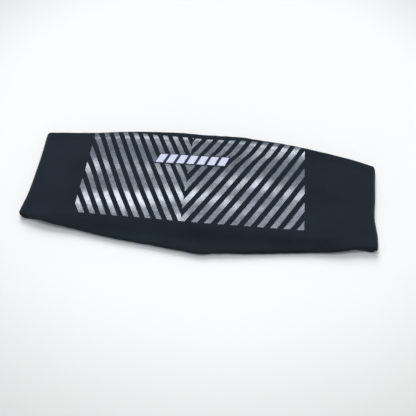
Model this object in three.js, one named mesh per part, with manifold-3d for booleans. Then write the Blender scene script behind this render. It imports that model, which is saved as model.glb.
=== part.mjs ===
// Wide contoured sports headband, laid flat: a closed two-layer knit loop, folded at both sides,
// with slanted foil film strips that meet on a V line and a small dashed emblem on the front.
//
// Units are millimetres. +X runs along the folded band, +Y up the forehead, +Z away from the
// surface that it lies on. The origin is the middle of its footprint, on that surface.

import * as THREE from 'three';
import * as BufferGeometryUtils from 'three/addons/utils/BufferGeometryUtils.js';
import Module from 'manifold-3d';

const wasm = await Module();
wasm.setup();

// ---- Band ----

const flatLength = 230;          // fold to fold
const frontHeight = 97;          // at the centre front
const backHeight = 47;           // at the centre back seam
const taperPower = 1.21;         // how soon the height falls away from the centre front

// ---- Cloth and thread ----

const plyThickness = 0.6;        // shell and lining knit, each
const threadThickness = 0.3;
const threadWidth = 1.2;
const threadClearance = 0.3;     // between a thread and each ply
const threadInset = 1.6;         // from the turned edge to the seam thread
const headOpening = 4.4;         // between the front and the back lining
const backSeamGap = 0.3;         // between the two ends of each ply
const backSeamWidth = 3;         // the cross seam's run of stitches

// ---- Print ----

const filmThickness = 0.12;
const printLeft = -82.5;
const printRight = 67.8;
const printBottom = -26.3;       // on the V line
const printTop = 43.8;           // on the V line
const printTilt = THREE.MathUtils.degToRad(1);     // of the print's top and bottom
const printEdgeMargin = 0.8;     // bare knit left beside the turned edge
const vLine = -12.3;             // x of the line that the strips of the two sides meet on
const stripPitch = 14.2;         // from strip to strip, up the V line
const stripRise = 7;             // height of one strip, up the V line
const leftLean = THREE.MathUtils.degToRad(27.4);   // of the strips from upright
const rightLean = THREE.MathUtils.degToRad(30.7);
const leftStart = 3.4;           // y where the middle of one left strip meets the V line
const rightStart = 0.9;          // and of one right strip
const creaseShift = 3.9;         // how far the right strips are set over above the crease
const creaseY = 26;              // height of the crease where it crosses the V line
const creaseSlope = 0.09;
const creaseWidth = 8;
const creaseEnd = 64.6;          // x where the crease has run out

// ---- Emblem ----

const emblemX = -10.5;
const emblemY = 24;
const dashCount = 7;
const dashWidth = 5;
const dashGap = 2.2;
const dashHeight = 7.4;
const dashLean = THREE.MathUtils.degToRad(20);
const emblemTilt = THREE.MathUtils.degToRad(2);
const dashThickness = 0.2;
const backingThickness = 0.1;
const backingMargin = 0.8;

// ---- Worked out from the values above ----

const plyGap = threadThickness + 2 * threadClearance;
const wall = 2 * plyThickness + plyGap;
const bandThickness = 2 * wall + headOpening;
const foldRadius = bandThickness / 2;
const midRadius = foldRadius - wall / 2;
const straightHalf = flatLength / 2 - foldRadius;
const halfGirth = 2 * straightHalf + Math.PI * midRadius;

// How finely the curves are cut into straight pieces.
const straightSteps = 14;
const foldSteps = 10;
const fieldTopSteps = 30;
const stripSteps = 20;

// ---- Materials ----

const knit = new THREE.MeshStandardMaterial({ color: '#262e36', roughness: 0.85, metalness: 0 });
const lining = new THREE.MeshStandardMaterial({ color: '#20262d', roughness: 0.9, metalness: 0 });
const thread = new THREE.MeshStandardMaterial({ color: '#1b2026', roughness: 0.7, metalness: 0 });
const foil = new THREE.MeshStandardMaterial({ color: '#b4bac6', roughness: 0.35, metalness: 0.9 });
const backing = new THREE.MeshStandardMaterial({ color: '#1c2229', roughness: 0.6, metalness: 0 });
const emblem = new THREE.MeshStandardMaterial({ color: '#dfe3f4', roughness: 0.5, metalness: 0 });

const group = new THREE.Group();

function addPiece(name, geometry, material) {
  const mesh = new THREE.Mesh(geometry, material.clone());
  mesh.name = name;
  group.add(mesh);
}

// ---- The loop ----

// Half of the band's height, at a distance along the loop from the centre front.
function halfHeight(distance) {
  const closeness = 0.5 + 0.5 * Math.cos(Math.PI * distance / halfGirth);
  return (backHeight + (frontHeight - backHeight) * closeness ** taperPower) / 2;
}

// A point in the loop's cross-section, at a signed distance along the wall's middle line from the
// centre front and an offset outwards from that line.
function loopPoint(distance, offset) {
  const side = Math.sign(distance);
  const beyond = Math.abs(distance) - straightHalf;
  const turn = THREE.MathUtils.clamp(beyond / midRadius, 0, Math.PI);
  const past = Math.max(beyond - Math.PI * midRadius, 0);
  const run = Math.min(Math.abs(distance), straightHalf) - past;
  const radius = midRadius + offset;
  return new THREE.Vector2(side * (run + radius * Math.sin(turn)), radius * Math.cos(turn));
}

// The distance along the loop, from the centre front, of a point in the cross-section.
function distanceAt(x, z) {
  const beyond = Math.abs(x) - straightHalf;
  if (beyond > 0) {
    return straightHalf + midRadius * Math.atan2(beyond, z);
  }
  return z > 0 ? Math.abs(x) : halfGirth - Math.abs(x);
}

// Stations along the loop from one end at the centre back, round the front, to the other end.
function loopStations() {
  const foldEnd = straightHalf + Math.PI * midRadius;
  const half = [];
  for (let i = 1; i <= straightSteps; i += 1) {
    half.push(straightHalf * i / straightSteps);
  }
  for (let i = 1; i <= foldSteps; i += 1) {
    half.push(straightHalf + Math.PI * midRadius * i / foldSteps);
  }
  for (let i = 1; i <= straightSteps; i += 1) {
    half.push(foldEnd + (straightHalf - backSeamGap / 2) * i / straightSteps);
  }
  const mirrored = half.map((distance) => -distance).reverse();
  return [...mirrored, 0, ...half];
}

// A layer that follows the whole loop between two offsets from the wall's middle line. Its upper
// and lower edges are given by functions of the distance from the centre front.
function loopLayer(inner, outer, lowEdge, highEdge) {
  const stations = loopStations();
  const outside = stations.map((distance) => loopPoint(distance, outer));
  const inside = stations.map((distance) => loopPoint(distance, inner)).reverse();
  const section = new THREE.Shape([...outside, ...inside]);
  const geometry = new THREE.ExtrudeGeometry(section, { depth: 1, bevelEnabled: false });
  geometry.translate(0, 0, -0.5);
  geometry.rotateX(Math.PI / 2);
  const places = geometry.attributes.position;
  for (let i = 0; i < places.count; i += 1) {
    const distance = distanceAt(places.getX(i), places.getZ(i));
    places.setY(i, places.getY(i) > 0 ? highEdge(distance) : lowEdge(distance));
  }
  geometry.translate(0, 0, foldRadius);
  geometry.computeVertexNormals();
  return geometry;
}

// Outer shell: one cut of knit. Its two ends meet at the centre back.
addPiece('outer_shell', loopLayer(
  wall / 2 - plyThickness,
  wall / 2,
  (distance) => -halfHeight(distance),
  halfHeight,
), knit);

// Inner lining: the second layer, sewn to the shell along both edges and turned.
addPiece('inner_lining', loopLayer(
  -wall / 2,
  plyThickness - wall / 2,
  (distance) => -halfHeight(distance),
  halfHeight,
), lining);

// ---- Seam threads, between the two layers ----

const threadOuter = threadInset;
const threadInner = threadInset + threadWidth;

addPiece('top_seam_thread', loopLayer(
  -threadThickness / 2,
  threadThickness / 2,
  (distance) => halfHeight(distance) - threadInner,
  (distance) => halfHeight(distance) - threadOuter,
), thread);

addPiece('bottom_seam_thread', loopLayer(
  -threadThickness / 2,
  threadThickness / 2,
  (distance) => threadOuter - halfHeight(distance),
  (distance) => threadInner - halfHeight(distance),
), thread);

// The cross seam that closes the loop, between the two edge seams.
const crossSeamLength = backHeight - 2 * (threadInner + threadClearance);
const crossSeam = new THREE.BoxGeometry(backSeamWidth, crossSeamLength, threadThickness);
crossSeam.translate(0, 0, foldRadius - midRadius);
addPiece('back_seam_thread', crossSeam, thread);

// ---- Foil film strips ----

function toSolid(geometry) {
  const bare = geometry.clone();
  bare.deleteAttribute('normal');
  bare.deleteAttribute('uv');
  const merged = BufferGeometryUtils.mergeVertices(bare);
  return new wasm.Manifold(new wasm.Mesh({
    numProp: 3,
    vertProperties: merged.attributes.position.array,
    triVerts: new Uint32Array(merged.index.array),
  }));
}

function toGeometry(solid) {
  const mesh = solid.getMesh();
  const geometry = new THREE.BufferGeometry();
  geometry.setAttribute('position', new THREE.BufferAttribute(mesh.vertProperties, 3));
  geometry.setIndex(new THREE.BufferAttribute(mesh.triVerts, 1));
  geometry.computeVertexNormals();
  return geometry;
}

// A flat film of a given outline, with its underside at a given height.
function film(outline, underside, thickness) {
  const shape = new THREE.Shape(outline.map(([x, y]) => new THREE.Vector2(x, y)));
  const geometry = new THREE.ExtrudeGeometry(shape, { depth: thickness, bevelEnabled: false });
  geometry.translate(0, 0, underside);
  return geometry;
}

// The bottom of the printed field, a straight line.
function fieldBottom(x) {
  return printBottom + (x - vLine) * Math.tan(printTilt);
}

// The top of the printed field: a straight line, or the turned edge where that is lower.
function fieldTop(x) {
  const straight = printTop + (x - vLine) * Math.tan(printTilt);
  return Math.min(straight, halfHeight(Math.abs(x)) - printEdgeMargin);
}

// The part of the printed field between two upright lines.
function printField(left, right) {
  const outline = [[left, fieldBottom(left)], [right, fieldBottom(right)]];
  for (let i = 0; i <= fieldTopSteps; i += 1) {
    const x = THREE.MathUtils.lerp(right, left, i / fieldTopSteps);
    outline.push([x, fieldTop(x)]);
  }
  return toSolid(film(outline, bandThickness, filmThickness));
}

// How far the crease sets the right strips over, at a point of the print.
function setOver(x, y) {
  const crease = creaseY + creaseSlope * (x - vLine);
  const above = THREE.MathUtils.smoothstep(y, crease - creaseWidth / 2, crease + creaseWidth / 2);
  const left = THREE.MathUtils.clamp((creaseEnd - x) / (creaseEnd - vLine), 0, 1);
  return creaseShift * above * left;
}

// One strip, from below the printed field to above it. It climbs to the left or to the right of
// the V line, which its middle meets at a given height.
function strip(meetY, side, lean) {
  const halfWidth = stripRise * Math.tan(lean) / 2;
  const low = printBottom - stripPitch;
  const high = printTop + stripPitch;
  const rightEdge = [];
  const leftEdge = [];
  for (let i = 0; i <= stripSteps; i += 1) {
    const y = THREE.MathUtils.lerp(low, high, i / stripSteps);
    const straight = vLine + side * (y - meetY) * Math.tan(lean);
    const x = side > 0 ? straight + setOver(straight, y) : straight;
    rightEdge.push([x + halfWidth, y]);
    leftEdge.push([x - halfWidth, y]);
  }
  return toSolid(film([...rightEdge, ...leftEdge.reverse()], bandThickness, filmThickness));
}

// All the strips on one side of the V line, out to the print's end, numbered from the top down.
function addStrips(name, start, side, lean, end) {
  const field = printField(Math.min(vLine, end), Math.max(vLine, end));
  const reach = Math.abs(end - vLine) / Math.tan(lean);
  const highest = Math.ceil((printTop - start) / stripPitch);
  const lowest = Math.floor((printBottom - reach - start) / stripPitch);
  let number = 1;
  for (let i = highest; i >= lowest; i -= 1) {
    const piece = strip(start + i * stripPitch, side, lean).intersect(field);
    if (!piece.isEmpty()) {
      addPiece(`${name}_${number}`, toGeometry(piece), foil);
      number += 1;
    }
  }
}

addStrips('left_strip', leftStart, -1, leftLean, printLeft);
addStrips('right_strip', rightStart, 1, rightLean, printRight);

// ---- Emblem: a plain row of slanted dashes on a dark outline ----

// A slanted block of the emblem, from its left and right ends and its half height.
function slantedBlock(left, right, half) {
  const corners = [[left, -half], [right, -half], [right, half], [left, half]];
  return corners.map(([u, v]) => [
    emblemX + u + v * Math.tan(dashLean),
    emblemY + v + u * Math.tan(emblemTilt),
  ]);
}

const emblemHalf = (dashCount * dashWidth + (dashCount - 1) * dashGap) / 2;
const backingBase = bandThickness + filmThickness;
addPiece('emblem_backing', film(slantedBlock(
  -emblemHalf - backingMargin,
  emblemHalf + backingMargin,
  dashHeight / 2 + backingMargin,
), backingBase, backingThickness), backing);

for (let i = 0; i < dashCount; i += 1) {
  const left = i * (dashWidth + dashGap) - emblemHalf;
  const outline = slantedBlock(left, left + dashWidth, dashHeight / 2);
  const dash = film(outline, backingBase + backingThickness, dashThickness);
  addPiece(`emblem_dash_${i + 1}`, dash, emblem);
}

export default group;
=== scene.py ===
import math

import bmesh
import bpy
from mathutils import Euler, Matrix, Vector, noise


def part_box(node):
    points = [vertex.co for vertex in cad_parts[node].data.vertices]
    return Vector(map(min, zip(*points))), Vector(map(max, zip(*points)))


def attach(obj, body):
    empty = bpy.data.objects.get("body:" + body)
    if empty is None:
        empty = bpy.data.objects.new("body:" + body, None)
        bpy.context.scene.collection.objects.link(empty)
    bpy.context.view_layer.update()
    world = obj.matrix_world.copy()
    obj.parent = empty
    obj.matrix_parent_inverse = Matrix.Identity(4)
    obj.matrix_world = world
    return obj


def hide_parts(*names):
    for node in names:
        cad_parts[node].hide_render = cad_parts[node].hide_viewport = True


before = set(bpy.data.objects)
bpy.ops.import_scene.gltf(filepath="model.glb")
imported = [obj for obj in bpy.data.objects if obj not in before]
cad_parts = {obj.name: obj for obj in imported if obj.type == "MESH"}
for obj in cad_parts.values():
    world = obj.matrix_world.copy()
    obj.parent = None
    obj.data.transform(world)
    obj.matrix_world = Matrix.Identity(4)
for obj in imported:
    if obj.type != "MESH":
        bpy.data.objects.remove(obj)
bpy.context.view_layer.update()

# ---- Camera ----
# The band lies on a table and is seen from above its lower edge, a little from its right, with a
# normal lens.

mm = 0.001
camera_turn = math.radians(6.5)
camera_rise = math.radians(56.5)
camera_distance = 378.5 * mm
camera_aim = Vector((4.6, -12.4, 6)) * mm
camera_angles = (math.pi / 2 - camera_rise, 0, camera_turn)
lens_length = 49.85
sensor_width = 36

camera_data = bpy.data.cameras.new("camera")
camera_data.lens = lens_length
camera_data.sensor_width = sensor_width
camera = bpy.data.objects.new("camera", camera_data)
towards_camera = Euler(camera_angles).to_matrix() @ Vector((0, 0, 1))
camera.location = camera_aim + camera_distance * towards_camera
camera.rotation_euler = camera_angles
bpy.context.scene.collection.objects.link(camera)
bpy.context.scene.camera = camera
bpy.context.scene.view_settings.view_transform = "Standard"

# ---- Table and lights ----
# A wide sheet of matt white paper lies under the band. A large lamp hangs over it, and soft light
# from a window beyond the upper edge lays a broad shadow below the lower one. The room is brighter
# at the horizon than overhead, so the foil shows where it tilts to the lamp.

paper_size = 4.0
paper_middle = Vector((0, 0.075, 0))
# Past these reaches the paper's colour is painted darker, as shade where the light falls off.
paper_unshaded_reach = 0.15        # from the middle, still white
paper_painted_shade_reach = 0.31         # and grey from here on
paper_cloud_size = 167 * mm
lamp_place = Vector((-0.10, 0.35, 2.0))
lamp_length = 1.80
lamp_width = 1.20
lamp_power = 11.8
window_way = Vector((-0.2, 1.0, 0.70))
window_spread = math.radians(34)
window_strength = 2.65
room_brightness = 0.68
horizon_colour = "#eaeaea"
zenith_colour = "#99a7b5"
# Between them, by the sine of the angle above the horizon.
sky_colours = {0.5: "#d0ddeb", 0.72: "#a0aab5", 0.9: "#9ca6b1"}


def linear(hex_colour):
    """An sRGB hex colour as linear red, green, blue and alpha."""
    parts = [int(hex_colour[i:i + 2], 16) / 255 for i in (1, 3, 5)]
    return [c / 12.92 if c <= 0.04045 else ((c + 0.055) / 1.055) ** 2.4 for c in parts] + [1]


def add_node(tree, kind, inputs=None, **settings):
    """Adds a node. inputs are values, or other nodes' outputs, by the socket's name or number."""
    node = tree.nodes.new(kind)
    for name, value in settings.items():
        setattr(node, name, value)
    for socket, value in (inputs or {}).items():
        if isinstance(value, bpy.types.NodeSocket):
            tree.links.new(value, node.inputs[socket])
        else:
            node.inputs[socket].default_value = value
    return node


def start_material(name, **shader_inputs):
    """A material with its surface shader, whose sockets are named with _ for a space."""
    material = bpy.data.materials.new(name)
    material.use_nodes = True
    tree = material.node_tree
    tree.nodes.clear()
    inputs = {socket.replace("_", " "): value for socket, value in shader_inputs.items()}
    shader = add_node(tree, "ShaderNodeBsdfPrincipled", inputs)
    add_node(tree, "ShaderNodeOutputMaterial", {"Surface": shader.outputs[0]})
    return material, tree, shader


# White paper, matt, uncoated and faintly cloudy. Its colour turns pale grey away from the middle:
# painted shade, where the lamp's light falls off.
paper, tree, shader = start_material("uncoated_white_paper", Roughness=0.9)
place = add_node(tree, "ShaderNodeTexCoord").outputs["Object"]
clouds = add_node(tree, "ShaderNodeTexNoise", {
    "Vector": place, "Scale": 1 / paper_cloud_size, "Detail": 2.0,
})
tone = add_node(tree, "ShaderNodeMix", {
    0: clouds.outputs[0], 6: linear("#f6f3ef"), 7: linear("#fbf8f4"),
}, data_type="RGBA")
reach = add_node(tree, "ShaderNodeVectorMath", {0: place, 1: paper_middle}, operation="DISTANCE")
painted_shade_share = add_node(tree, "ShaderNodeMapRange", {
    0: reach.outputs["Value"], 1: paper_unshaded_reach, 2: paper_painted_shade_reach,
}, interpolation_type="SMOOTHSTEP")
# Painted shade: the colour turns grey away from the middle, as the light falls off.
paper_with_painted_shade = add_node(tree, "ShaderNodeMix", {
    0: painted_shade_share.outputs[0], 6: tone.outputs[2], 7: linear("#cdcac6"),
}, data_type="RGBA")
tree.links.new(paper_with_painted_shade.outputs[2], shader.inputs["Base Color"])

bm = bmesh.new()
bmesh.ops.create_grid(bm, x_segments=1, y_segments=1, size=paper_size / 2)
table_mesh = bpy.data.meshes.new("table")
bm.to_mesh(table_mesh)
bm.free()
table_mesh.materials.append(paper)
table = bpy.data.objects.new("table", table_mesh)
bpy.context.scene.collection.objects.link(table)


def add_lamp(name, kind, energy):
    """Adds a lamp of a kind and strength, still to be placed and shaped."""
    data = bpy.data.lights.new(name, kind)
    data.energy = energy
    lamp = bpy.data.objects.new(name, data)
    bpy.context.scene.collection.objects.link(lamp)
    return lamp


overhead_lamp = add_lamp("overhead_lamp", "AREA", lamp_power)
overhead_lamp.location = lamp_place
overhead_lamp.data.shape = "RECTANGLE"
overhead_lamp.data.size = lamp_length
overhead_lamp.data.size_y = lamp_width

window_light = add_lamp("window_light", "SUN", window_strength)
window_light.rotation_euler = window_way.to_track_quat("Z", "Y").to_euler()
window_light.visible_glossy = False
window_light.data.angle = window_spread

room = bpy.data.worlds.new("room")
room.use_nodes = True
bpy.context.scene.world = room
tree = room.node_tree
tree.nodes.clear()
way = add_node(tree, "ShaderNodeTexCoord").outputs["Generated"]
rise = add_node(tree, "ShaderNodeSeparateXYZ", {0: way}).outputs["Z"]
sky = add_node(tree, "ShaderNodeValToRGB", {0: rise})
sky_stops = sky.color_ramp.elements
sky_stops[0].color = linear(horizon_colour)
sky_stops[1].color = linear(zenith_colour)
for height, colour in sky_colours.items():
    sky_stops.new(height).color = linear(colour)
glow = add_node(tree, "ShaderNodeBackground", {0: sky.outputs[0], 1: room_brightness})
add_node(tree, "ShaderNodeOutputWorld", {0: glow.outputs[0]})

# ---- Outer shell ----
# One contoured cut of polyester and elastane jersey, joined into a loop at the centre back. Its
# long edges are sewn to the lining face to face and turned, so each edge is a rounded lip with
# the seam allowance lying behind it. The loop lies flat, folded at both sides.

# Sizes of the solid model.
shell_low, shell_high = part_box("outer_shell")
lining_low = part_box("inner_lining")[0]
front_height = 97 * mm
back_height = 47 * mm
taper_power = 1.21
back_gap = 0.3 * mm
seam_gap = 0.9 * mm             # between the two layers

# The neat loop: both layers together are one wall, straight along the front and back, and round
# at the folds.
fold_radius = (shell_high.z - shell_low.z) / 2
wall = 2 * (lining_low.z - shell_low.z) - seam_gap
middle_radius = fold_radius - wall / 2
straight_half = shell_high.x - fold_radius
half_girth = 2 * straight_half + math.pi * middle_radius

# The cloth, its turned edge and the allowance behind it.
cloth_thickness = 0.55 * mm
cloth_step = 1.5 * mm
cloth_rows = 76
ply_offset = wall / 2 - cloth_thickness / 2
lip_radius = 0.325 * mm
lip_offset = 0.65 * mm
lip_room = 0.65 * mm
allowance = 4.0 * mm
hem_height = 0.2 * mm
hem_start = 4.4 * mm
hem_end = 6.4 * mm
body_rows = 0.84                # share of the rows that lie on the body of the cloth
lip_rows = 0.7                  # share of the rest that goes round the lip
pucker_height = 0.22 * mm       # where the seam draws the edge in and out
pucker_length = 4.5 * mm
lining_roll = 0.9 * mm          # by how much the lining shows past the lower edge

# Its knit, whose loops are drawn coarser than the real 0.4 mm, to show.
shell_loop_width = 0.9 * mm
shell_loop_height = 0.7 * mm
loop_depth = 0.06 * mm
fibre_size = 0.667 * mm
dye_cloud_size = 26.3 * mm
tint_start = 60 * mm            # out from the band's middle
tint_end = 125 * mm


def smooth(value, start, end):
    """0 before start, 1 after end, and a smooth rise between them."""
    share = min(max((value - start) / (end - start), 0), 1)
    return share * share * (3 - 2 * share)


def swell(value, middle, reach):
    """A soft hump of height 1 round a middle."""
    return math.exp(-((value - middle) / reach) ** 2)


def step_down(y, line, width):
    """0 above a line that runs along the band, 1 below it, and a soft rise between them."""
    return 1 / (1 + math.exp((y - line) / width))


def half_height(distance):
    """Half of the band's height, at a distance along the loop from the centre front."""
    closeness = 0.5 + 0.5 * math.cos(math.pi * distance / half_girth)
    return (back_height + (front_height - back_height) * closeness ** taper_power) / 2


def loop_point(distance, across, offset):
    """A point of the neat loop: along it, across the band, and out from the wall's middle."""
    side = -1 if distance < 0 else 1
    beyond = abs(distance) - straight_half
    turn = min(max(beyond / middle_radius, 0), math.pi)
    past = max(beyond - math.pi * middle_radius, 0)
    run = min(abs(distance), straight_half) - past
    radius = middle_radius + offset
    return Vector((
        side * (run + radius * math.sin(turn)),
        across,
        fold_radius + radius * math.cos(turn),
    ))


def hem_rise(room):
    """How far the allowance behind the cloth lifts it, at a distance from the turned edge."""
    return hem_height * (1 - smooth(room, hem_start, hem_end))


# The front has sunk on to the back and slumped. The next values and functions say by how much,
# with places and results in millimetres.

opening_low = 2.1               # the back half lies below this height
opening_height = 4.3
margin_sink = 5.7
fold_sink = 3.5
slide_share = 0.66              # of its sink, by which cloth slides up the table


def lower_crease(x, y):
    """A long crease that runs down from the left end, up to the V line's foot, and fades out to
    the right: where it lies, how far the cloth steps down there, and how softly."""
    line = -5.6 - 7.4 * smooth(-x, 16, 50) - 2.4 * smooth(-x, 54, 80) - 4.4 * smooth(x, 2, 34)
    depth = 2.2 - 0.45 * smooth(-x, 48, 58) - 0.6 * smooth(-x, 62, 82)
    depth -= 0.45 * smooth(x, -36, -26) + 0.65 * smooth(x, -8, 4) + 0.7 * smooth(x, 14, 38)
    depth -= 0.35 * smooth(x, 46, 60)
    width = 3.0 - 0.4 * smooth(-x, 24, 50)
    return depth * step_down(y, line, width)


def upper_crease(x, y):
    """A crease that shows in two places on the left and runs down on the right."""
    line = 13 + 2 * swell(x, -18, 14) - 4.6 * smooth(x, -2, 16) - 5.3 * smooth(x, 36, 58)
    line -= 1.5 * smooth(-x, 50, 80)
    depth = 0.2 + 0.5 * smooth(-x, 4, 22) + 1.1 * swell(x, -78, 13) + 0.5 * swell(x, -38, 14)
    depth += 0.5 * swell(x, -20, 10) + 1.4 * smooth(x, -8, 24) - 0.4 * swell(x, 50, 7)
    depth -= 0.1 * smooth(x, 50, 62) + 0.25 * swell(x, 16, 5)
    return depth * step_down(y, line, 3.3)


def rim_curl(x, y):
    """The upper rim, which stands a little higher than the print below it."""
    line = 37.6 - 2.2 * swell(x, 40, 18) + 4 * smooth(-x, 58, 76)
    depth = 0.45 + 0.6 * swell(x, -30, 14) + 0.5 * swell(x, -52, 8) + 0.5 * swell(x, 15, 7)
    depth += 0.25 * swell(x, -10, 8) + 1.2 * smooth(x, 18, 34)
    width = 2.8 + 0.6 * smooth(x, 10, 24)
    return depth * step_down(y, line, width)


def front_sink(x, y):
    """How far the front has sunk: its creases, its rim and two small dents, and then its lower
    margin, which droops past the narrower back, and its folds, which are pressed down."""
    loose = lower_crease(x, y) + upper_crease(x, y) + rim_curl(x, y) - 0.6
    loose += 0.7 * swell(x, -12, 7) * step_down(y, -23, 2)
    loose += 0.4 * swell(x, 33, 9) * step_down(y, 24, 2.5)
    loose += 0.2 * noise.noise(Vector((x / 26, y / 18, 1.7)))
    back_reach = half_height(half_girth - min(abs(x) * mm, half_girth)) / mm
    margin_start = max(27 + 2 * smooth(abs(x), 36, 54), back_reach - 1)
    margin = smooth(-y, margin_start, margin_start + 15)
    loose += (margin_sink - loose) * margin
    folded = fold_sink + 0.55 * smooth(-y, 0, 32)
    return loose + (folded - loose) * smooth(abs(x), 78, 110)


def edge_shift(x, y, front):
    """How far the upper or lower edge has moved up the table. front is 1 on the front of the
    loop and 0 on its back."""
    if y > 0:
        shift = 3.0 * swell(x, -116, 26) + 0.7 * swell(x, -62, 16) - 0.9 * swell(x, -4, 14)
        shift += 0.5 * swell(x, 24, 8) + 0.9 * swell(x, 62, 26) - 1.8 * swell(x, 116, 14)
        return shift
    shift = 1.8 * swell(x, 52, 34) + 1.0 * swell(x, -34, 20) + 3.0 * swell(x, -120, 16)
    shift += 1.6 * swell(x, 120, 16) + 1.3 * swell(x, 100, 9) - 1.2 * swell(x, 2, 9)
    shift += front * (2.2 - 1.4 * swell(x, -20, 80))
    shift -= front * (1.6 * swell(x, 118, 10) + 2.2 * swell(x, -121, 6))
    shift += (1 - front) * (1.0 * swell(x, -116, 14) + 1.6 * swell(x, 116, 12))
    return shift


def fold_bulge(x, y, front):
    """How far the left or right fold has moved to the right."""
    if x < 0:
        bulge = -4.2 - 0.8 * swell(y, 38, 14) - (0.2 + 1.9 * front) * smooth(-y, 5, 36)
        bulge += 1.4 * (1 - front) * smooth(-y, 30, 42)
        return bulge
    bulge = 1.9 + 0.7 * swell(y, 34, 12) - 1.3 * swell(y, -6, 12) + 0.5 * swell(y, -26, 10)
    bulge -= 2.2 * (1 - front) * swell(y, -36, 9)
    return bulge


def settle(point):
    """Where a point of the neat loop lies once the cloth has sunk and slumped on the table."""
    x, y, z = point / mm
    front = min(max((z - opening_low) / opening_height, 0), 1)
    near_edge = smooth(abs(y) / (half_height(min(abs(x) * mm, half_girth)) / mm), 0.45, 1)
    near_fold = smooth(abs(x), 76, 112)
    down = front * front_sink(x, y)
    flattened = -0.4 * math.copysign(max(abs(x) - straight_half / mm, 0), x)
    drawn_in = -1.5 * smooth(y, -22, 42) * x / 75 * (1 - smooth(abs(x), 75, 95))
    waves = 0.27 + 0.15 * noise.noise(Vector((x / 40, y / 30, 8.3)))
    seam_lift = 0.15 * swell(x, 0, 4)
    return Vector((
        x + fold_bulge(x, y, front) * near_fold + drawn_in + flattened,
        y + edge_shift(x, y, front) * near_edge + slide_share * down,
        z - down + (1 - front) * (seam_lift + waves),
    )) * mm


def settle_all(bm):
    """Lays every point of a piece down with the loop."""
    for vertex in bm.verts:
        vertex.co = settle(vertex.co)


def finish_piece(bm, name, material, nodes, sharp_angle=40):
    """Makes the piece's object from its mesh, gives it its body and material slot, and hides the
    model's nodes that it stands in for.
    """
    bmesh.ops.recalc_face_normals(bm, faces=bm.faces)
    for edge in bm.edges:
        edge.smooth = edge.calc_face_angle(0) < math.radians(sharp_angle)
    for face in bm.faces:
        face.smooth = True
    mesh = bpy.data.meshes.new(name)
    bm.to_mesh(mesh)
    bm.free()
    mesh.materials.append(material)
    piece = bpy.data.objects.new(name, mesh)
    bpy.context.scene.collection.objects.link(piece)
    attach(piece, "root")
    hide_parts(*nodes)
    return piece


def across_ply(share, reach, side):
    """Where a share of the cut's half height lies: across the band, out from the wall's middle,
    and along the cloth. The last part goes round the lip and back in as the allowance."""
    body = reach - lip_room
    if abs(share) <= body_rows:
        across = abs(share) / body_rows * body
        offset = ply_offset + hem_rise(reach - across)
        along = across
    else:
        turned = (abs(share) - body_rows) / (1 - body_rows)
        angle = math.pi * min(turned / lip_rows, 1)
        inward = allowance * max(turned - lip_rows, 0) / (1 - lip_rows)
        across = body + lip_radius * math.sin(angle) - inward
        offset = lip_offset + lip_radius * math.cos(angle)
        along = body + lip_radius * angle + inward
    sign = -1 if share < 0 else 1
    return sign * across, side * offset, sign * along


def make_ply(name, side, material, nodes):
    """One layer of the band: a sheet that follows the loop on its outer side, 1, or inner, -1."""
    bm = bmesh.new()
    cloth = bm.verts.layers.float_vector.new("cloth")
    around = round(2 * half_girth / cloth_step)
    bmesh.ops.create_grid(bm, x_segments=around, y_segments=cloth_rows, size=1)
    for vertex in bm.verts:
        distance = vertex.co.x * (half_girth - back_gap / 2)
        pucker = noise.noise(Vector((distance / pucker_length, 3 * vertex.co.y, 5)))
        reach = half_height(distance) + pucker_height * pucker
        if side < 0 and vertex.co.y < 0:
            rolled = smooth(distance / mm, 15, 45) * (1 - smooth(distance / mm, 95, 112))
            reach += lining_roll * rolled
        across, offset, along = across_ply(vertex.co.y, reach, side)
        vertex[cloth] = Vector((distance, along, 0))
        vertex.co = loop_point(distance, across, offset)
    settle_all(bm)
    ply = finish_piece(bm, name, material, nodes, 180)
    thickness = ply.modifiers.new("cloth_thickness", "SOLIDIFY")
    thickness.thickness = cloth_thickness
    thickness.offset = 0
    return ply


def knit_height(tree, columns, rows):
    """The height of a jersey's face: columns of small V loops, from a place counted in loops."""
    leg = add_node(tree, "ShaderNodeMath", {0: columns, 1: 0.5}, operation="PINGPONG")
    slanted = add_node(tree, "ShaderNodeMath", {
        0: leg.outputs[0], 1: 1.3, 2: rows,
    }, operation="MULTIPLY_ADD")
    row_turn = add_node(tree, "ShaderNodeMath", {
        0: slanted.outputs[0], 1: math.tau,
    }, operation="MULTIPLY")
    row_wave = add_node(tree, "ShaderNodeMath", {0: row_turn.outputs[0]}, operation="SINE")
    column_turn = add_node(tree, "ShaderNodeMath", {0: columns, 1: math.tau}, operation="MULTIPLY")
    column_wave = add_node(tree, "ShaderNodeMath", {0: column_turn.outputs[0]}, operation="COSINE")
    height = add_node(tree, "ShaderNodeMath", {
        0: row_wave.outputs[0], 1: 0.5, 2: column_wave.outputs[0],
    }, operation="MULTIPLY_ADD")
    return height.outputs[0]


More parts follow.
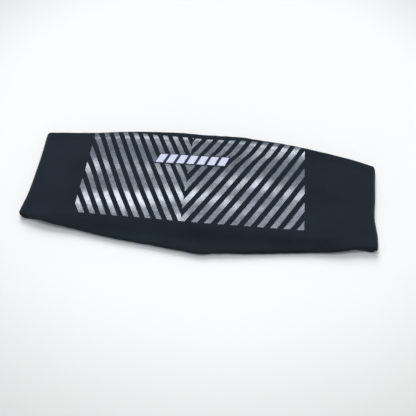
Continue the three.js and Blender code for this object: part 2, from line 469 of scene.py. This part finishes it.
def knit_material(name, dark, light, tint, loop_width, loop_height, sheen):
    """Dyed synthetic jersey: matt, with columns of loops, a faint bloom, cloudy dye and a warmer
    tint towards the folds. The hollows between the loops are painted darker, as shade."""
    material, tree, shader = start_material(
        name, Roughness=0.82, Sheen_Weight=sheen, Sheen_Roughness=0.45,
        Sheen_Tint=linear("#7d8ea6"), Specular_IOR_Level=0.3,
    )
    on_cloth = add_node(tree, "ShaderNodeAttribute", attribute_name="cloth").outputs["Vector"]
    counted = add_node(tree, "ShaderNodeVectorMath", {
        0: on_cloth, 1: (1 / loop_width, 1 / loop_height, 1),
    }, operation="MULTIPLY")
    split = add_node(tree, "ShaderNodeSeparateXYZ", {0: counted.outputs[0]})
    height = knit_height(tree, split.outputs["X"], split.outputs["Y"])
    clouds = add_node(tree, "ShaderNodeTexNoise", {
        "Vector": on_cloth, "Scale": 1 / dye_cloud_size, "Detail": 5.0, "Roughness": 0.6,
    })
    fibres = add_node(tree, "ShaderNodeTexNoise", {
        "Vector": on_cloth, "Scale": 1 / fibre_size, "Detail": 3.0,
    })
    # The loop height also darkens the colour in the hollows between the loops: painted shade,
    # mixed into the cloudy dye.
    loops = add_node(tree, "ShaderNodeMapRange", {0: height, 1: -1.5, 2: 1.5, 3: 0.15, 4: 0.85})
    dye_clouds_and_loop_shade = add_node(tree, "ShaderNodeMath", {
        0: clouds.outputs[0], 1: loops.outputs[0],
    }, operation="MULTIPLY")
    spread = add_node(tree, "ShaderNodeMapRange", {0: dye_clouds_and_loop_shade.outputs[0], 1: 0.05, 2: 0.5})
    dye_and_loop_shade = add_node(tree, "ShaderNodeMix", {
        0: spread.outputs[0], 6: linear(dark), 7: linear(light),
    }, data_type="RGBA")
    place = add_node(tree, "ShaderNodeTexCoord").outputs["Object"]
    sides = add_node(tree, "ShaderNodeSeparateXYZ", {0: place})
    outward = add_node(tree, "ShaderNodeMath", {0: sides.outputs["X"]}, operation="ABSOLUTE")
    # Tinted towards the folds, more the farther from the band's middle.
    fold_tint_share = add_node(tree, "ShaderNodeMapRange", {
        0: outward.outputs[0], 1: tint_start, 2: tint_end, 3: 0.0, 4: 0.6,
    })
    tinted = add_node(tree, "ShaderNodeMix", {
        0: fold_tint_share.outputs[0], 6: dye_and_loop_shade.outputs[2], 7: linear(tint),
    }, data_type="RGBA")
    tree.links.new(tinted.outputs[2], shader.inputs["Base Color"])
    rough_height = add_node(tree, "ShaderNodeMath", {
        0: fibres.outputs[0], 1: 0.8, 2: height,
    }, operation="MULTIPLY_ADD")
    bump = add_node(tree, "ShaderNodeBump", {
        "Height": rough_height.outputs[0], "Strength": 0.55, "Distance": loop_depth,
    })
    tree.links.new(bump.outputs[0], shader.inputs["Normal"])
    return material


# Polyester and elastane jersey, piece dyed near black: matt, slightly blue, with fine loops.
shell_knit = knit_material(
    "dyed_polyester_jersey", "#10181e", "#1c2730", "#1b202a",
    shell_loop_width, shell_loop_height, 0.2,
)
outer_shell = make_ply("outer_shell_knit", 1, shell_knit, ["outer_shell"])

# ---- Inner lining ----
# The second layer is a brushed jersey, cut to the same outline. It is sewn to the shell along
# both long edges and lies a seam's thickness inside it.

lining_loop_width = 1.1 * mm
lining_loop_height = 0.9 * mm

# Brushed polyester jersey: a little greyer than the shell, with more bloom and coarser loops.
lining_knit = knit_material(
    "brushed_polyester_jersey", "#191f25", "#262d35", "#22262e",
    lining_loop_width, lining_loop_height, 0.4,
)
inner_lining = make_ply("inner_lining_knit", -1, lining_knit, ["inner_lining"])

# ---- Edge seams ----
# A lockstitch in polyester thread joins the two layers along each long edge. Turned, it shows
# only as short slanted stitches down in the groove between the two lips.

stitch_pitch = 2.5 * mm
stitch_length = 1.3 * mm
stitch_depth = 0.25 * mm        # below the turned edge
stitch_slant = 0.9
thread_width = 0.3 * mm
twist_pitch = 0.7 * mm
twist_depth = 0.03 * mm
back_seam_room = 3 * mm         # left free beside the back seam


def add_stitch(bm, centre, direction, length, width):
    """One visible run of thread: a small rounded grain with its ends in the cloth."""
    turn = direction.to_track_quat("Z", "Y").to_matrix().to_4x4()
    size = Matrix.Diagonal((width / 2, width / 2, length / 2, 1))
    bmesh.ops.create_uvsphere(
        bm, u_segments=8, v_segments=6, radius=1, matrix=Matrix.Translation(centre) @ turn @ size,
    )


# Twisted polyester sewing thread, dyed to match: a soft shine with a fine twist, whose grooves are
# painted darker, as shade.
thread, tree, shader = start_material(
    "twisted_polyester_thread", Roughness=0.5, Sheen_Weight=0.3, Sheen_Roughness=0.4,
)
place = add_node(tree, "ShaderNodeTexCoord").outputs["Object"]
twist = add_node(tree, "ShaderNodeTexWave", {
    "Vector": place, "Scale": math.tau / 10 / twist_pitch, "Distortion": 2.0, "Detail": 1.0,
}, bands_direction="DIAGONAL")
# Painted shade: the colour darkens in the twist's grooves, along with its bump.
tone = add_node(tree, "ShaderNodeMix", {
    0: twist.outputs[1], 6: linear("#12161b"), 7: linear("#2c333c"),
}, data_type="RGBA")
bump = add_node(tree, "ShaderNodeBump", {
    "Height": twist.outputs[1], "Strength": 0.4, "Distance": twist_depth,
})
tree.links.new(tone.outputs[2], shader.inputs["Base Color"])
tree.links.new(bump.outputs[0], shader.inputs["Normal"])

for edge_name, side in (("top", 1), ("bottom", -1)):
    bm = bmesh.new()
    stitches = int(2 * (half_girth - back_seam_room) / stitch_pitch)
    for i in range(stitches + 1):
        distance = (i - stitches / 2) * stitch_pitch
        across = side * (half_height(distance) - stitch_depth)
        centre = loop_point(distance, across, 0)
        outwards = loop_point(distance, across, 1 * mm) - centre
        ahead = loop_point(distance + 0.5 * mm, across, 0) - centre
        add_stitch(bm, centre, outwards + stitch_slant * ahead, stitch_length, thread_width)
    settle_all(bm)
    finish_piece(
        bm, f"{edge_name}_seam_stitches", thread, [f"{edge_name}_seam_thread"],
    )

# ---- Back seam ----
# A flat seam closes the loop at the centre back: the ends of both layers meet edge to edge and
# a zigzag of the same thread crosses the join on both faces.

seam_width = 3.0 * mm
seam_end_room = 2.5 * mm        # left free beside each long edge
zigzag_pitch = 1.5 * mm
zigzag_offset = wall / 2 + 0.08 * mm

bm = bmesh.new()
runs = int((back_height - 2 * seam_end_room) / zigzag_pitch)
for face in (1, -1):
    for i in range(runs + 1):
        across = (i - runs / 2) * zigzag_pitch
        slant = zigzag_pitch if i % 2 else -zigzag_pitch
        centre = Vector((0, across, fold_radius - middle_radius - face * zigzag_offset))
        direction = Vector((seam_width, slant, 0))
        add_stitch(bm, centre, direction, direction.length, thread_width)
settle_all(bm)
finish_piece(bm, "back_seam_stitches", thread, ["back_seam_thread"])

# ---- Foil strips ----
# Strips of silver heat-transfer foil are pressed onto the knit and slant down from both sides to
# a V line. The film is thin enough to take the shape of the cloth, creases and loops included.

film_step = 1.2 * mm
film_lift = 0.02 * mm
foil_wander = 0.12 * mm         # how far the pressed edges stray
wander_length = 2.5 * mm
foil_patch_size = 3.33 * mm
foil_fleck_size = 1.11 * mm
foil_cast_size = 22.2 * mm
foil_depth = 0.03 * mm


def make_film(name, node, lift, wander, material):
    """A pressed film: its flat solid cut into small faces and laid down with the cloth."""
    bm = bmesh.new()
    bm.from_mesh(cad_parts[node].data)
    bmesh.ops.remove_doubles(bm, verts=bm.verts, dist=0.001 * mm)
    bmesh.ops.dissolve_limit(bm, angle_limit=math.radians(0.5), verts=bm.verts, edges=bm.edges)
    low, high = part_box(node)
    for axis in (0, 1):
        normal = Vector((1 - axis, axis, 0))
        for i in range(math.ceil(low[axis] / film_step), math.ceil(high[axis] / film_step)):
            everything = bm.verts[:] + bm.edges[:] + bm.faces[:]
            bmesh.ops.bisect_plane(
                bm, geom=everything, dist=0.01 * mm,
                plane_co=normal * i * film_step, plane_no=normal,
            )
    for vertex in bm.verts:
        x, y, z = vertex.co
        across = Vector((x, y, 0)) / wander_length
        vertex.co.x += wander * noise.noise(across)
        vertex.co.y += wander * noise.noise(across + Vector((0, 0, 9)))
        vertex.co.z += lift + hem_rise(half_height(abs(x)) - abs(y))
    settle_all(bm)
    return finish_piece(bm, name, material, [node])


# Hot-stamped aluminium transfer foil: bright grey metal with a faint blue cast, pebbled by the
# loops beneath and cloudy where it took unevenly.
foil, tree, shader = start_material("hot_pressed_aluminium_foil", Metallic=1.0)
place = add_node(tree, "ShaderNodeTexCoord").outputs["Object"]
counted = add_node(tree, "ShaderNodeVectorMath", {
    0: place, 1: (1 / shell_loop_width, 1 / shell_loop_height, 1),
}, operation="MULTIPLY")
split = add_node(tree, "ShaderNodeSeparateXYZ", {0: counted.outputs[0]})
height = knit_height(tree, split.outputs["X"], split.outputs["Y"])
patches = add_node(tree, "ShaderNodeTexNoise", {
    "Vector": place, "Scale": 1 / foil_patch_size, "Detail": 3.0, "Roughness": 0.65,
})
flecks = add_node(tree, "ShaderNodeTexNoise", {
    "Vector": place, "Scale": 1 / foil_fleck_size, "Detail": 4.0,
})
cast = add_node(tree, "ShaderNodeTexNoise", {
    "Vector": place, "Scale": 1 / foil_cast_size, "Detail": 3.0,
})
cast_spread = add_node(tree, "ShaderNodeMapRange", {0: cast.outputs[0], 1: 0.35, 2: 0.65})
hue = add_node(tree, "ShaderNodeMix", {
    0: cast_spread.outputs[0], 6: linear("#b2b9bf"), 7: linear("#b9bec6"),
}, data_type="RGBA")
patch_spread = add_node(tree, "ShaderNodeMapRange", {
    0: patches.outputs[0], 1: 0.36, 2: 0.64, 3: 0.72, 4: 1.08,
})
tone = add_node(tree, "ShaderNodeMix", {
    0: 1.0, 6: hue.outputs[2], 7: patch_spread.outputs[0],
}, data_type="RGBA", blend_type="MULTIPLY")
tree.links.new(tone.outputs[2], shader.inputs["Base Color"])
dullness = add_node(tree, "ShaderNodeMapRange", {
    0: flecks.outputs[0], 1: 0.3, 2: 0.7, 3: 0.24, 4: 0.28,
})
tree.links.new(dullness.outputs[0], shader.inputs["Roughness"])
pebble = add_node(tree, "ShaderNodeMath", {
    0: flecks.outputs[0], 1: 0.5, 2: height,
}, operation="MULTIPLY_ADD")
bump = add_node(tree, "ShaderNodeBump", {
    "Height": pebble.outputs[0], "Strength": 0.06, "Distance": foil_depth,
})
tree.links.new(bump.outputs[0], shader.inputs["Normal"])

for node in sorted(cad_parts):
    if "_strip_" in node:
        make_film(f"{node}_foil", node, film_lift, foil_wander, foil)

# ---- Emblem ----
# A plain row of seven slanted dashes in pale satin transfer film, on a thin dark film that
# frames each of them. Both are pressed over the foil.

backing_grain_size = 0.91 * mm
dash_grain_size = 1.43 * mm
film_grain_depth = 0.03 * mm


def urethane_film(name, dark, light, roughness, grain_size):
    """Pressed polyurethane transfer film: satin, with the grain of the knit beneath it."""
    material, tree, shader = start_material(name, Roughness=roughness)
    place = add_node(tree, "ShaderNodeTexCoord").outputs["Object"]
    grain = add_node(tree, "ShaderNodeTexNoise", {
        "Vector": place, "Scale": 1 / grain_size, "Detail": 3.0,
    })
    tone = add_node(tree, "ShaderNodeMix", {
        0: grain.outputs[0], 6: linear(dark), 7: linear(light),
    }, data_type="RGBA")
    bump = add_node(tree, "ShaderNodeBump", {
        "Height": grain.outputs[0], "Strength": 0.3, "Distance": film_grain_depth,
    })
    tree.links.new(tone.outputs[2], shader.inputs["Base Color"])
    tree.links.new(bump.outputs[0], shader.inputs["Normal"])
    return material


# Dark polyurethane transfer film, satin: it sinks into the knit between the foil strips.
backing_film = urethane_film(
    "pressed_dark_urethane_film", "#171c22", "#242b33", 0.5, backing_grain_size,
)
make_film(
    "emblem_backing_film", "emblem_backing", 2 * film_lift, 0, backing_film,
)

# Pale polyurethane transfer film, satin: near white with a lilac cast and a fine knit grain.
dash_film = urethane_film(
    "pressed_pale_urethane_film", "#c6cce4", "#dce0f4", 0.42, dash_grain_size,
)
for node in sorted(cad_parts):
    if node.startswith("emblem_dash_"):
        make_film(f"{node}_film", node, 3 * film_lift, 0, dash_film)
